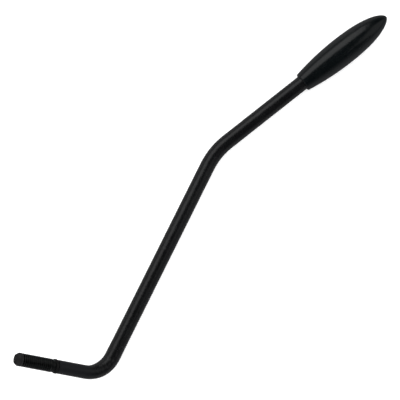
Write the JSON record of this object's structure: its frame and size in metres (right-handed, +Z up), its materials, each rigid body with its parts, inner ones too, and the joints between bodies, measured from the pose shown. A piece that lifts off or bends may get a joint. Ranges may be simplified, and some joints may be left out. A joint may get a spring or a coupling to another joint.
{
  "type": "guitar tremolo arm",
  "caption": "Screw-in tremolo arm for an electric guitar: a bent black steel rod with a threaded leg, a friction ring and a bullet-shaped gloss tip.",
  "frame": {"origin": "middle of the arm's footprint on the table it lies on", "axes": "+X along the rod's middle length, from the threaded leg to the tip; +Z up from the table"},
  "size_m": [0.1746, 0.0652, 0.0231],
  "materials": {
    "black_plating": "satin to gloss black plating on steel",
    "ring_nylon": "matte black nylon",
    "tip_plastic": "gloss black moulded plastic"
  },
  "bodies": {
    "arm": {"arm_rod": "black_plating", "friction_ring": "ring_nylon"},
    "tip": {"tip": "tip_plastic"}
  },
  "joints": [
    {"name": "tip_unscrew", "type": "slide", "parent": "arm", "child": "tip", "axis": [0.9018, -0.4301, 0.0412], "range_m": [0, 0.02]}
  ]
}
